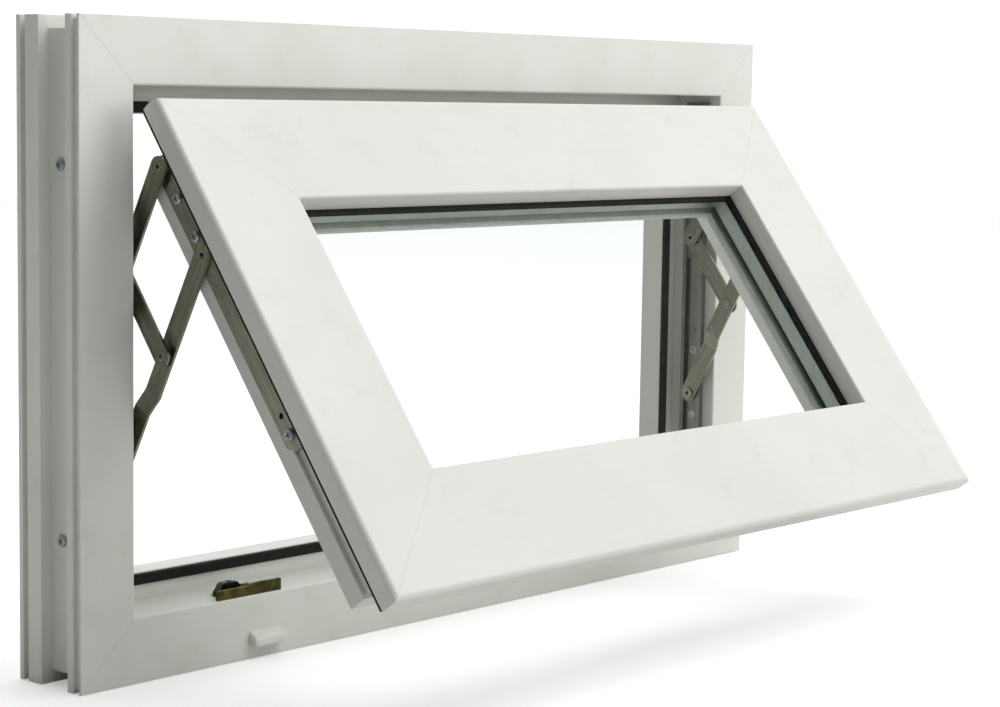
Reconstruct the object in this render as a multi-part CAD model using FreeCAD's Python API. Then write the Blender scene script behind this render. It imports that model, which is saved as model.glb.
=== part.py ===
import FreeCAD, Part
import os
from math import asin, cos, degrees, pi, radians, sin, tan

# Top-hung window: a white plastic outer frame and a sash that opens outwards at the bottom
# on two friction stays. Millimetres. X runs to the right, Y into the building, Z up.
# The origin is the middle of the sill's underside, in the plane of the outside face.

# ---------------------------------------------------------------- driving dimensions
frame_width = 704.0
frame_height = 430.0
frame_depth = 64.0
frame_face = 43.4
frame_overlap = 7.2
sash_face = 79.2
stack_height = 14.0
opening_angle = 37.0

# ---------------------------------------------------------------- frame section
edge_break = 0.25
face_edge_r = 1.5
small_edge_r = 0.8
rebate_depth = 43.5
upstand_height = 18.6
plastic_wall = 2.8
web = 2.0
clip_start = 2.0
clip_end = 8.0
clip_depth = 2.5
channel_start = 14.0
channel_end = 41.0
channel_depth = 8.5
back_groove_start = 55.0
back_groove_end = 60.0
back_groove_depth = 4.0
front_chamber_end = 9.5

# ---------------------------------------------------------------- steel reinforcement
steel_wall = 1.5
steel_gap = 0.3
steel_end_gap = 6.0
frame_steel_width = 27.0
sash_steel_depth = 14.0

# ---------------------------------------------------------------- frame seal, drain cap and fixings
seal_clearance = 0.3
frame_seal_width = 7.5
frame_seal_inset = 0.8
frame_seal_wall = 1.0
sash_seal_gap = 3.0
cap_position = -195.0
cap_length = 29.0
cap_bottom = 9.0
cap_height = 10.0
cap_depth = 7.0
cap_wall = 1.6
cap_edge_r = 4.0
drain_slot_length = 22.0
drain_slot_height = 4.0
drain_slot_z = 10.5
jamb_screw_heights = (95.0, 336.0)
jamb_screw_y = 29.0
jamb_screw_length = 16.0
screw_shank_r = 1.9
screw_hole_r = 1.95
screw_head_r = 3.9
screw_head_height = 2.0
recess_width = 1.0
recess_length = 4.4
recess_depth = 1.1

# ---------------------------------------------------------------- sash section
flange_thickness = 15.0
flange_seal_gap = 3.5
flange_seal_width = 6.4
flange_seal_inset = 1.2
flange_seal_wall = 0.9
sash_edge_r = 4.0
reveal_edge_r = 2.0
reveal_depth = 15.0
sash_groove_width = 10.0
sash_groove_depth = 3.0
glazing_depth = 17.0
glass_edge_gap = 4.0
pane_thickness = 4.0
pane_gap = 12.0
gasket_thickness = 3.0
outer_gasket_sight = 3.8
inner_gasket_sight = 0.6
gasket_lip_r = 1.2
spacer_width = 7.0
spacer_wall = 0.6
sealant_depth = 4.0
bead_depth = 16.0
bead_back_height = 9.0
bead_front_flat = 3.0
bead_clearance = 0.2
packer_length = 80.0
packer_width = 18.0
packer_inset = 90.0

# ---------------------------------------------------------------- friction stays
pivot_depth = 21.0
top_arm_length = 75.0
strut_length = 67.0
long_arm_lower = 87.0
sash_arm_top = 26.5
sash_arm_length = 210.0
arm_width = 14.0
sash_arm_width = 15.0
sash_arm_chamfer = 6.0
sheet = 1.8
long_arm_sheet = 2.0
layer_gap = 0.3
track_width = 20.0
track_height = 5.2
track_sheet = 1.5
track_lip = 3.0
track_tail = 34.0
track_head_gap = 6.6
end_cap_length = 14.0
end_cap_wall = 1.2
shoe_length = 34.0
shoe_side_gap = 1.2
shoe_neck_width = 8.0
shoe_neck_length = 20.0
shoe_face_gap = 0.3
rivet_r = 3.0
rivet_bore_r = 1.5
rivet_head_r = 4.6
rivet_head_height = 1.2
rivet_hole_gap = 0.05
pressing_depth = 0.3
pressing_rim = 1.8
pressing_boss_r = 5.2
joggle_start = 46.0
joggle_length = 12.0
track_screw_offsets = (-19.0, 36.0)
track_top_screw_inset = 32.0
track_screw_head_r = 3.3
track_screw_length = 14.0
sash_screw_offsets = (51.0, 80.0, 225.0)
sash_spare_hole_offset = 212.0
sash_screw_length = 14.0

# ---------------------------------------------------------------- lock and handle
tooth_pitch = 5.0
tooth_tip_width = 1.3
tooth_root_width = 2.7
tooth_height = 2.2
mesh_gap = 0.35
pinion_thickness = 6.0
rack_thickness = 2.0
pinion_top_gap = 2.0
rack_teeth = 9
lock_bar_half_length = 236.0
lock_bar_thickness = 2.2
lock_bar_gap = 0.3
faceplate_width = 16.0
faceplate_sheet = 2.0
faceplate_half_length = 275.0
faceplate_screw_positions = (-266.0, -120.0, 120.0, 266.0)
faceplate_screw_length = 12.0
cam_positions = (-219.0, 195.0)
cam_r = 4.0
cam_length = 8.5
cam_slot_gap = 1.0
gearbox_half_length = 42.0
gearbox_depth = 16.0
gearbox_wall = 2.0
spindle_side = 7.0
spindle_gap = 0.1
hub_gap = 0.3
handle_base_length = 66.0
handle_base_width = 28.0
handle_base_depth = 10.0
handle_base_r = 5.0
handle_neck_r = 9.0
handle_neck_length = 5.0
lever_length = 112.0
lever_width = 18.0
lever_depth = 11.0
lever_edge_r = 4.0
handle_screw_half_spacing = 21.5
handle_screw_length = 18.0
keep_length = 57.0
keep_depth = 24.5
keep_sheet = 2.5
keep_wall = 2.6
keep_wall_height = 6.6
keep_end_height = 8.0
keep_end_length = 22.0
keep_base_inset = 5.0
keep_lip_start = 10.0
keep_lip_length = 19.0
keep_lip_depth = 6.0
keep_lip_height = 9.4
keep_front_gap = 19.5
keep_lip_gap = 0.5
through_cut = 1.0
keep_screw_back = 5.0
keep_screw_offset = 13.0
keep_screw_length = 10.0
keep_cam_lead = 17.0

# ---------------------------------------------------------------- worked-out values
sash_width = frame_width - 2.0 * (frame_face - frame_overlap)
sash_height = frame_height - 2.0 * (frame_face - frame_overlap)
sash_low = frame_face - frame_overlap
sash_high = sash_low + sash_height
sash_front = -(flange_thickness + flange_seal_gap)
sash_depth = rebate_depth - sash_seal_gap - sash_front
body_inset = frame_overlap + stack_height
rebate_half_width = 0.5 * frame_width - frame_face
rebate_top = frame_height - frame_face
glazing_floor = sash_face - glazing_depth
glass_edge = glazing_floor + glass_edge_gap
unit_front = reveal_depth + gasket_thickness
unit_back = unit_front + 2.0 * pane_thickness + pane_gap
bead_front = unit_back + gasket_thickness
groove_centre = pivot_depth - sash_front
keep_front = pivot_depth - keep_front_gap
long_arm_length = long_arm_lower + top_arm_length
arm_angle = degrees(asin(strut_length / long_arm_lower * sin(radians(opening_angle))))
fixed_pivot_height = sash_high - sash_arm_top - long_arm_length - strut_length
track_bottom = fixed_pivot_height - track_tail
track_top = rebate_top - track_head_gap

body_underside = sash_low + body_inset
bar_low = body_underside + lock_bar_gap
bar_high = bar_low + lock_bar_thickness
rack_root = bar_high + rack_thickness
gearbox_top = sash_low + glazing_floor - plastic_wall - spindle_gap
pinion_room = gearbox_top - gearbox_wall - pinion_top_gap - rack_root - mesh_gap - tooth_height
pinion_teeth = int(pinion_room * pi / tooth_pitch)
pinion_pitch_r = pinion_teeth * tooth_pitch / (2.0 * pi)
pinion_root_r = pinion_pitch_r - 0.5 * tooth_height
spindle_height = rack_root + mesh_gap + 0.5 * tooth_height + pinion_pitch_r
lock_travel = 0.25 * pinion_teeth * tooth_pitch

layer_strut = track_height + layer_gap
layer_top_arm = layer_strut + sheet + layer_gap
layer_long_arm = layer_top_arm + sheet + layer_gap
layer_sash_arm = layer_long_arm + long_arm_sheet + layer_gap
sash_arm_sheet = stack_height - layer_sash_arm

X_AXIS = FreeCAD.Vector(1, 0, 0)
Y_AXIS = FreeCAD.Vector(0, 1, 0)
Z_AXIS = FreeCAD.Vector(0, 0, 1)
LEFT = -1.0
RIGHT = 1.0


def up_arm(pivot, length, angle):
    """The (y, z) end of an arm that leans out by the angle, above its pivot."""
    lean = radians(angle)
    return (pivot[0] - length * sin(lean), pivot[1] + length * cos(lean))


def stay_points(sash_angle, lean):
    """The (y, z) pivots of a stay: fixed, middle, shoe, top and lower sash pivot."""
    fixed = (pivot_depth, fixed_pivot_height)
    middle = up_arm(fixed, long_arm_lower, lean)
    shoe = up_arm(middle, strut_length, -sash_angle)
    top = up_arm(shoe, top_arm_length, lean)
    lower = up_arm(middle, top_arm_length, lean)
    return {"fixed": fixed, "middle": middle, "shoe": shoe, "top": top, "lower": lower}


CLOSED = stay_points(0.0, 0.0)
OPEN = stay_points(opening_angle, arm_angle)


# ---------------------------------------------------------------- helpers
def box(x0, x1, y0, y1, z0, z1):
    """A box between two corners."""
    corner = FreeCAD.Vector(min(x0, x1), min(y0, y1), min(z0, z1))
    return Part.makeBox(abs(x1 - x0), abs(y1 - y0), abs(z1 - z0), corner)


def cylinder(radius, start, axis, length):
    """A cylinder from a start point along an axis."""
    return Part.makeCylinder(radius, length, FreeCAD.Vector(*start), axis)


def outline(corners):
    """A closed wire in the YZ plane through (y, z, radius) corners, each rounded."""
    stations = []
    count = len(corners)
    for index, (y, z, radius) in enumerate(corners):
        here = FreeCAD.Vector(0, y, z)
        before = FreeCAD.Vector(0, *corners[index - 1][:2]) - here
        after = FreeCAD.Vector(0, *corners[(index + 1) % count][:2]) - here
        before.normalize()
        after.normalize()
        half = 0.5 * before.getAngle(after)
        middle = before + after
        if radius > 0:
            middle.normalize()
            reach = radius / tan(half)
            centre = here + middle * (radius / sin(half))
            stations.append((here + before * reach, centre - middle * radius, here + after * reach))
        else:
            stations.append((here, None, here))
    edges = []
    for index, (start, bulge, end) in enumerate(stations):
        if bulge is not None:
            edges.append(Part.Arc(start, bulge, end).toShape())
        following = stations[(index + 1) % count][0]
        edges.append(Part.makeLine(end, following))
    return Part.Wire(edges)


def prism(corners, length):
    """A solid with the outline as its section, centred along X."""
    solid = Part.Face(outline(corners)).extrude(X_AXIS * length)
    solid.translate(X_AXIS * (-0.5 * length))
    return solid


def rectangle(y0, y1, z0, z1, radius=0.0):
    """The corners of a rounded rectangle."""
    return [(y0, z0, radius), (y0, z1, radius), (y1, z1, radius), (y1, z0, radius)]


def mitred(solid, length, inner):
    """Cut both ends of a member at 45 degrees, with its outer edge on z = 0."""
    half = 0.5 * length
    reach = inner + frame_face
    cut = solid
    for side in (LEFT, RIGHT):
        low = FreeCAD.Vector(side * (half + reach), -frame_depth, -reach)
        high = FreeCAD.Vector(side * (half - reach), -frame_depth, reach)
        far = FreeCAD.Vector(side * (half + 3.0 * reach), -frame_depth, reach)
        face = Part.Face(Part.makePolygon([low, high, far, low]))
        wedge = face.extrude(Y_AXIS * (3.0 * frame_depth))
        cut = cut.cut(wedge)
    return cut


def place_member(solid, side, width, height):
    """Turn a member that was built as the bottom one to its own side of a rectangle."""
    placed = solid.copy()
    turn = {"bottom": 0, "top": 180, "left": 90, "right": -90}[side]
    placed.rotate(FreeCAD.Vector(0, 0, 0), Y_AXIS, turn)
    shift = {
        "bottom": FreeCAD.Vector(0, 0, 0),
        "top": FreeCAD.Vector(0, 0, height),
        "left": FreeCAD.Vector(-0.5 * width, 0, 0.5 * height),
        "right": FreeCAD.Vector(0.5 * width, 0, 0.5 * height),
    }[side]
    placed.translate(shift)
    return placed


def member(corners, chambers, side, width, height, inner):
    """One mitred member of a rectangle, with its chambers."""
    length = width if side in ("bottom", "top") else height
    solid = prism(corners, length + 2.0 * inner)
    for chamber in chambers:
        solid = solid.cut(prism(chamber, length + 4.0 * inner))
    return place_member(mitred(solid, length, inner), side, width, height)


def ring(corners, chambers, width, height, inner):
    """Four mitred members joined in one closed ring."""
    sides = [member(corners, chambers, side, width, height, inner) for side in SIDES]
    return sides[0].fuse(sides[1:]).removeSplitter()


SIDES = ("bottom", "right", "top", "left")


def mirrored(solid):
    """The same piece on the other side of the window."""
    return solid.mirror(FreeCAD.Vector(0, 0, 0), X_AXIS)


def screw(head_r, length, flush):
    """A cross-head screw along -Z, its seat on z = 0. A flush head is countersunk."""
    shank = cylinder(screw_shank_r, (0, 0, -length), Z_AXIS, length)
    if flush:
        head = Part.makeCone(screw_shank_r, head_r, head_r - screw_shank_r)
        head.translate(Z_AXIS * (screw_shank_r - head_r))
        top = 0.0
    else:
        head = cylinder(head_r, (0, 0, 0), Z_AXIS, screw_head_height)
        rim = [e for e in head.Edges if e.BoundBox.ZMin > 0.5 * screw_head_height]
        head = head.makeFillet(0.5 * screw_head_height, rim[:1])
        top = screw_head_height
    solid = shank.fuse(head).removeSplitter()
    for along, across in ((recess_length, recess_width), (recess_width, recess_length)):
        slot = box(-0.5 * along, 0.5 * along, -0.5 * across, 0.5 * across,
                   top - recess_depth, top + through_cut)
        solid = solid.cut(slot)
    return solid


def aimed(solid, outward, point):
    """Turn a piece so that its +Z points along outward, and move it to a point."""
    turned = solid.copy()
    turn = FreeCAD.Rotation(Z_AXIS, FreeCAD.Vector(*outward))
    turned.Placement = FreeCAD.Placement(FreeCAD.Vector(*point), turn)
    return turned


def sash_at_rest(solid):
    """Swing a piece of the closed sash to its open position."""
    moved = solid.copy()
    pivot = FreeCAD.Vector(0, *CLOSED["top"])
    moved.rotate(pivot, X_AXIS, -opening_angle)
    moved.translate(FreeCAD.Vector(0, *OPEN["top"]) - pivot)
    return moved


def in_sash(solid):
    """Move a member built on the sash's own front and lower edge into the closed sash."""
    moved = solid.copy()
    moved.translate(FreeCAD.Vector(0, sash_front, sash_low))
    return moved


def save(name, shape):
    """Write a node's STEP file."""
    shape.exportStep(os.path.join("parts", name + ".step"))


def group(solids):
    """Identical separate pieces that share one node."""
    return Part.makeCompound(solids)


# ---------------------------------------------------------------- outer frame
def frame_section():
    """The frame profile as (y, height above the outer edge, radius) corners."""
    top = frame_face + upstand_height
    return [
        (0.0, 0.0, edge_break),
        (0.0, frame_face, face_edge_r),
        (rebate_depth, frame_face, 0.0),
        (rebate_depth, top, small_edge_r),
        (frame_depth, top, small_edge_r),
        (frame_depth, 0.0, edge_break),
        (back_groove_end, 0.0, 0.0),
        (back_groove_end, back_groove_depth, 0.0),
        (back_groove_start, back_groove_depth, 0.0),
        (back_groove_start, 0.0, edge_break),
        (channel_end, 0.0, edge_break),
        (channel_end, channel_depth, 0.0),
        (channel_start, channel_depth, 0.0),
        (channel_start, 0.0, edge_break),
        (clip_end, 0.0, edge_break),
        (clip_end, clip_depth, 0.0),
        (clip_start, clip_depth, 0.0),
        (clip_start, 0.0, 0.0),
    ]


def frame_main_chamber():
    """The chamber that holds the steel: front, back, low and high."""
    return (
        front_chamber_end + web,
        rebate_depth - plastic_wall,
        channel_depth + plastic_wall,
        frame_face - plastic_wall,
    )


def frame_chambers():
    """The hollow chambers of the frame profile."""
    front, back, low, high = frame_main_chamber()
    back_low = back_groove_depth + plastic_wall
    back_front = rebate_depth + plastic_wall
    back_end = frame_depth - plastic_wall
    return [
        rectangle(plastic_wall, front_chamber_end, clip_depth + plastic_wall, high),
        rectangle(front, back, low, high),
        rectangle(back_front, back_end, back_low, high - web),
        rectangle(back_front, back_end, high, frame_face + upstand_height - plastic_wall),
    ]


def frame_member(side):
    """One mitred member of the outer frame, drilled for its steel's screws."""
    inner = frame_face + upstand_height
    solid = member(frame_section(), frame_chambers(), side, frame_width, frame_height, inner)
    if side in ("left", "right"):
        sign = LEFT if side == "left" else RIGHT
        solid = drilled_for_jamb_screws(solid, sign)
    if side == "bottom":
        half = 0.5 * drain_slot_length
        slot = box(cap_position - half, cap_position + half, -through_cut, plastic_wall + through_cut,
                   drain_slot_z, drain_slot_z + drain_slot_height)
        solid = solid.cut(slot)
        for place in keep_screw_points():
            start = (*place, frame_face - plastic_wall - through_cut)
            solid = solid.cut(cylinder(screw_hole_r, start, Z_AXIS, plastic_wall + 2.0 * through_cut))
    return solid


def drilled_for_jamb_screws(solid, sign):
    """The holes of the screws that hold the steel and the stay's track."""
    seat = sign * (0.5 * frame_width - channel_depth)
    for height in jamb_screw_heights:
        start = (seat + sign * through_cut, jamb_screw_y, height)
        reach = plastic_wall + steel_wall + steel_gap + 2.0 * through_cut
        solid = solid.cut(cylinder(screw_hole_r, start, X_AXIS * -sign, reach))
    for height in track_screw_heights():
        start = (sign * (rebate_half_width - through_cut), pivot_depth, height)
        solid = solid.cut(cylinder(screw_hole_r, start, X_AXIS * sign, plastic_wall + 2.0 * through_cut))
    return solid


def frame_steel():
    """Galvanised channel bars, one in each member's main chamber."""
    front, back, low, high = frame_main_chamber()
    y0, z0 = front + steel_gap, low + steel_gap
    y1, z1 = y0 + frame_steel_width, high - steel_gap
    bars = []
    for side in SIDES:
        length = frame_width if side in ("bottom", "top") else frame_height
        cut_length = length - 2.0 * (high + steel_end_gap)
        bar = prism(rectangle(y0, y1, z0, z1), cut_length)
        hollow = rectangle(y0 + steel_wall, y1 - steel_wall, z0 + steel_wall, z1 + through_cut)
        bar = bar.cut(prism(hollow, cut_length + 2.0 * through_cut))
        bar = place_member(bar, side, frame_width, frame_height)
        if side in ("left", "right"):
            bar = drilled_for_jamb_screws(bar, LEFT if side == "left" else RIGHT)
        bars.append(bar)
    return group(bars)


def jamb_screws():
    """Pan-head screws in the outer channel of both jambs, into the steel."""
    pieces = []
    for sign in (LEFT, RIGHT):
        seat = sign * (0.5 * frame_width - channel_depth)
        for height in jamb_screw_heights:
            pan = screw(screw_head_r, jamb_screw_length, False)
            pieces.append(aimed(pan, (sign, 0, 0), (seat, jamb_screw_y, height)))
    return group(pieces)


def frame_seal():
    """The bubble gasket on the front of the frame's upstand."""
    high = frame_face + upstand_height - frame_seal_inset
    low = high - frame_seal_width
    front = rebate_depth - sash_seal_gap + seal_clearance
    radius = 0.5 * (rebate_depth - front) - edge_break
    corners = rectangle(front, rebate_depth, low, high, radius)
    corners[2] = (rebate_depth, high, 0.0)
    corners[3] = (rebate_depth, low, 0.0)
    bubble = rectangle(front + frame_seal_wall, rebate_depth - 0.5 * frame_seal_wall,
                       low + frame_seal_wall, high - frame_seal_wall)
    return ring(corners, [bubble], frame_width, frame_height, frame_face + upstand_height)


def drain_cap():
    """The hooded cover over the drain slot: closed in front and on top, open below."""
    high = cap_bottom + cap_height
    shell = prism([(0.0, cap_bottom, 0.0), (-cap_depth, cap_bottom, small_edge_r),
                   (-cap_depth, high - cap_edge_r, cap_edge_r), (0.0, high, 0.0)], cap_length)
    upright = [e for e in shell.Edges if abs(e.BoundBox.YMin + cap_depth) < edge_break
               and e.BoundBox.XLength < edge_break and e.BoundBox.ZLength > small_edge_r]
    shell = shell.makeFillet(cap_edge_r * 0.5, upright)
    inner_front = cap_wall - cap_depth
    hollow = prism([(cap_wall, cap_bottom - through_cut, 0.0), (inner_front, cap_bottom - through_cut, 0.0),
                    (inner_front, high - cap_edge_r - cap_wall, 0.0), (cap_wall, high - cap_wall, 0.0)],
                   cap_length - 2.0 * cap_wall)
    hood = shell.cut(hollow)
    hood.translate(X_AXIS * cap_position)
    return hood


# ---------------------------------------------------------------- sash
def sash_section():
    """The sash profile as (depth behind its front, distance from its edge, radius)."""
    groove_front = groove_centre - 0.5 * sash_groove_width
    groove_back = groove_centre + 0.5 * sash_groove_width
    groove_floor = body_inset + sash_groove_depth
    return [
        (0.0, 0.0, sash_edge_r),
        (0.0, sash_face, reveal_edge_r),
        (reveal_depth, sash_face, small_edge_r),
        (reveal_depth, glazing_floor, 0.0),
        (sash_depth, glazing_floor, small_edge_r),
        (sash_depth, body_inset, face_edge_r),
        (groove_back, body_inset, 0.0),
        (groove_back, groove_floor, 0.0),
        (groove_front, groove_floor, 0.0),
        (groove_front, body_inset, 0.0),
        (flange_thickness, body_inset, 0.0),
        (flange_thickness, 0.0, small_edge_r),
    ]


def sash_main_chamber():
    """The sash chamber that holds the steel: front, back, low and high."""
    return (
        flange_thickness,
        sash_depth - plastic_wall,
        body_inset + sash_groove_depth + plastic_wall,
        glazing_floor - plastic_wall,
    )


def sash_chambers():
    """The hollow chambers of the sash profile."""
    front, back, low, high = sash_main_chamber()
    lip_end = sash_face - plastic_wall
    return [
        rectangle(plastic_wall, flange_thickness - plastic_wall, plastic_wall + web, high),
        rectangle(plastic_wall, reveal_depth - plastic_wall, high + web, lip_end),
        rectangle(front, back, low, high),
    ]


def gearbox_pocket(gap):
    """The space of the lock's gearbox in the closed sash."""
    low = sash_low + body_inset + sash_groove_depth - lock_bar_gap
    depth = 0.5 * gearbox_depth + gap
    y = sash_front + groove_centre
    half = gearbox_half_length + gap
    return box(-half, half, y - depth, y + depth, low - gap, sash_low + glazing_floor - plastic_wall)


def sash_member(side):
    """One mitred member of the sash, in the closed sash's place."""
    solid = in_sash(member(sash_section(), sash_chambers(), side, sash_width, sash_height, sash_face))
    if side == "bottom":
        solid = solid.cut(gearbox_pocket(spindle_gap))
        for hole in handle_holes() + lock_screw_holes():
            solid = solid.cut(hole)
    if side in ("left", "right"):
        sign = LEFT if side == "left" else RIGHT
        for height in sash_screw_heights():
            start = (sign * (rebate_half_width - stack_height + through_cut), pivot_depth, height)
            depth = sash_screw_length + through_cut
            solid = solid.cut(cylinder(screw_hole_r, start, X_AXIS * -sign, depth))
    return solid


def sash_steel():
    """Galvanised channel bars in the sash's main chambers, notched for the gearbox."""
    front, back, low, high = sash_main_chamber()
    bars = []
    for side in SIDES:
        length = sash_width if side in ("bottom", "top") else sash_height
        cut_length = length - 2.0 * (high + steel_end_gap)
        y0, y1 = front + steel_gap, front + sash_steel_depth
        z0, z1 = low + steel_gap, high - steel_gap
        bar = prism(rectangle(y0, y1, z0, z1), cut_length)
        hollow = rectangle(y0 + steel_wall, y1 + through_cut, z0 + steel_wall, z1 - steel_wall)
        bar = bar.cut(prism(hollow, cut_length + 2.0 * through_cut))
        bars.append(in_sash(place_member(bar, side, sash_width, sash_height)))
    return group(bars)


def flange_seal():
    """The bubble gasket behind the sash's flange, which closes on the frame's face."""
    low = flange_seal_inset
    high = low + flange_seal_width - flange_seal_inset
    back = flange_thickness + flange_seal_gap - seal_clearance
    radius = 0.5 * (back - flange_thickness) - edge_break
    corners = [
        (flange_thickness, low, 0.0),
        (flange_thickness, high, 0.0),
        (back, high, radius),
        (back, low, radius),
    ]
    bubble = rectangle(flange_thickness + 0.5 * flange_seal_wall, back - flange_seal_wall,
                       low + flange_seal_wall, high - flange_seal_wall)
    return in_sash(ring(corners, [bubble], sash_width, sash_height, sash_face))


# ---------------------------------------------------------------- glazing
def pane(front):
    """One glass pane with its front at a depth behind the sash's front."""
    half = 0.5 * sash_width - glass_edge
    return box(-half, half, sash_front + front, sash_front + front + pane_thickness,
               sash_low + glass_edge, sash_high - glass_edge)


def spacer_bar():
    """The hollow aluminium bar between the panes."""
    front = unit_front + pane_thickness
    low = glass_edge + sealant_depth
    corners = rectangle(front, front + pane_gap, low, low + spacer_width, small_edge_r)
    hollow = rectangle(front + spacer_wall, front + pane_gap - spacer_wall,
                       low + spacer_wall, low + spacer_width - spacer_wall)
    return in_sash(ring(corners, [hollow], sash_width, sash_height, sash_face + spacer_width))


def edge_sealant():
    """The sealant that closes the glass unit's edge outside the spacer bar."""
    front = unit_front + pane_thickness
    corners = rectangle(front, front + pane_gap, glass_edge, glass_edge + sealant_depth)
    return in_sash(ring(corners, [], sash_width, sash_height, sash_face))


def glazing_gasket(front, sight):
    """A gasket against the glass, seen past the profile's edge by its sight width."""
    high = sash_face + sight
    corners = rectangle(front, front + gasket_thickness, glass_edge + through_cut, high, 0.0)
    corners[1] = (front, high, gasket_lip_r)
    corners[2] = (front + gasket_thickness, high, gasket_lip_r)
    return in_sash(ring(corners, [], sash_width, sash_height, sash_face + sight))


def glazing_bead(side):
    """A mitred bead that clips in behind the glass."""
    low = glazing_floor + bead_clearance
    back = bead_front + bead_depth
    corners = [
        (bead_front, low, 0.0),
        (bead_front, sash_face, small_edge_r),
        (bead_front + bead_front_flat, sash_face, small_edge_r),
        (back, glazing_floor + bead_back_height, small_edge_r),
        (back, low, 0.0),
    ]
    inner_low = low + web
    hollow = [
        (bead_front + web, inner_low, 0.0),
        (bead_front + web, sash_face - 2.0 * web, 0.0),
        (back - web, glazing_floor + bead_back_height - 2.0 * web, 0.0),
        (back - web, inner_low, 0.0),
    ]
    return in_sash(member(corners, [hollow], side, sash_width, sash_height, sash_face))


def glazing_packers():
    """The blocks that carry the glass unit on the rebate floor."""
    front = sash_front + unit_front + 0.5 * (unit_back - unit_front - packer_width)
    blocks = []
    for side in (LEFT, RIGHT):
        x = side * (0.5 * sash_width - glass_edge - packer_inset)
        half = 0.5 * packer_length
        for low in (sash_low + glazing_floor, sash_high - glass_edge):
            blocks.append(box(x - half, x + half, front, front + packer_width, low, low + glass_edge_gap))
    return group(blocks)


# ---------------------------------------------------------------- friction stays
def track_screw_heights():
    """The heights of the track's screws: two by the fixed pivot and one at the top."""
    low = [fixed_pivot_height + offset for offset in track_screw_offsets]
    return low + [track_top - track_top_screw_inset]


def sash_screw_heights():
    """The heights of the sash arm's screws in the closed sash."""
    return [sash_high - offset for offset in sash_screw_offsets]


def layer(solid):
    """Move a left-hand piece, built outwards from x = 0, to the left jamb's rebate."""
    moved = solid.copy()
    moved.translate(X_AXIS * -rebate_half_width)
    return moved


def bar(length, width, low, high):
    """A round-ended bar up Z from its lower pivot, between two layers."""
    half = 0.5 * width
    solid = box(low, high, -half, half, 0.0, length)
    for end in (0.0, length):
        solid = solid.fuse(cylinder(half, (low, 0, end), X_AXIS, high - low))
    return solid.removeSplitter()


def pressed(solid, start, end, low, high):
    """Sink both faces of an arm between two pivots, inside a rim and clear of its rivets."""
    half = 0.5 * arm_width - pressing_rim
    for face in (low - through_cut, high - pressing_depth):
        sink = box(face, face + pressing_depth + through_cut, -half, half, start, end)
        for boss in (start, end):
            sink = sink.cut(cylinder(pressing_boss_r, (face - through_cut, 0, boss), X_AXIS, stack_height))
        solid = solid.cut(sink)
    return solid


def pivot_hole(solid, z, low, high):
    """Drill a running-fit hole for a rivet."""
    reach = high - low + 2.0 * through_cut
    return solid.cut(cylinder(rivet_r + rivet_hole_gap, (low - through_cut, 0, z), X_AXIS, reach))


def lean(solid, angle, pivot):
    """Lean an upright piece outwards about its lower pivot and move it to the pivot."""
    moved = solid.copy()
    moved.rotate(FreeCAD.Vector(0, 0, 0), X_AXIS, angle)
    moved.translate(FreeCAD.Vector(0, *pivot))
    return layer(moved)


def rivet(low, high, spacer_low, spacer_high, head_low, head_high):
    """A hollow rivet along X with a spacer collar and its heads."""
    solid = cylinder(rivet_r, (low, 0, 0), X_AXIS, high - low)
    if spacer_high > spacer_low:
        solid = solid.fuse(cylinder(rivet_head_r, (spacer_low, 0, 0), X_AXIS, spacer_high - spacer_low))
    if head_low:
        solid = solid.fuse(cylinder(rivet_head_r, (low - head_low, 0, 0), X_AXIS, head_low))
    if head_high:
        solid = solid.fuse(cylinder(rivet_head_r, (high, 0, 0), X_AXIS, head_high))
    bore_start = low - head_low - through_cut
    bore = cylinder(rivet_bore_r, (bore_start, 0, 0), X_AXIS, high + head_high + through_cut - bore_start)
    return solid.cut(bore).removeSplitter()


def at_pivot(solid, pivot):
    """Move a rivet to a pivot of the left stay."""
    moved = solid.copy()
    moved.translate(FreeCAD.Vector(0, *pivot))
    return layer(moved)


def stay_track():
    """The lipped channel on the jamb, with its fixed pivot's and its screws' holes."""
    half = 0.5 * track_width
    solid = box(0.0, track_height, -half, half, track_bottom, track_top)
    inside = half - track_sheet
    solid = solid.cut(box(track_sheet, track_height - track_sheet, -inside, inside,
                          track_bottom - through_cut, track_top + through_cut))
    slot = half - track_lip
    solid = solid.cut(box(track_sheet, track_height + through_cut, -slot, slot,
                          track_bottom - through_cut, track_top + through_cut))
    floor_cut = track_sheet + 2.0 * through_cut
    fixed = cylinder(rivet_r, (-through_cut, 0, fixed_pivot_height), X_AXIS, floor_cut)
    solid = solid.cut(fixed)
    for height in track_screw_heights():
        hole = cylinder(screw_hole_r, (-through_cut, 0, height), X_AXIS, track_sheet + 2.0 * through_cut)
        sink_depth = track_screw_head_r - screw_shank_r
        sink = Part.makeCone(screw_hole_r, track_screw_head_r + rivet_hole_gap, sink_depth,
                             FreeCAD.Vector(track_sheet - sink_depth + rivet_hole_gap, 0, height), X_AXIS)
        solid = solid.cut(hole).cut(sink)
    return layer(moved_to_pivot_depth(solid))


def moved_to_pivot_depth(solid):
    """Move a piece from y = 0 to the stay's centre line."""
    moved = solid.copy()
    moved.translate(Y_AXIS * pivot_depth)
    return moved


def end_cap():
    """The plastic cap on the track's top end."""
    inside = 0.5 * track_width - track_sheet - layer_gap
    low = track_top - end_cap_length
    plug = box(track_sheet + rivet_hole_gap, track_height - track_sheet - rivet_hole_gap,
               -inside, inside, low, track_top)
    lid = box(0.0, track_height, -0.5 * track_width, 0.5 * track_width, track_top, track_top + end_cap_wall)
    neck = 0.5 * track_width - track_lip - layer_gap
    tongue = box(track_sheet + rivet_hole_gap, track_height, -neck, neck, low, track_top)
    return layer(moved_to_pivot_depth(plug.fuse([tongue, lid]).removeSplitter()))


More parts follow.
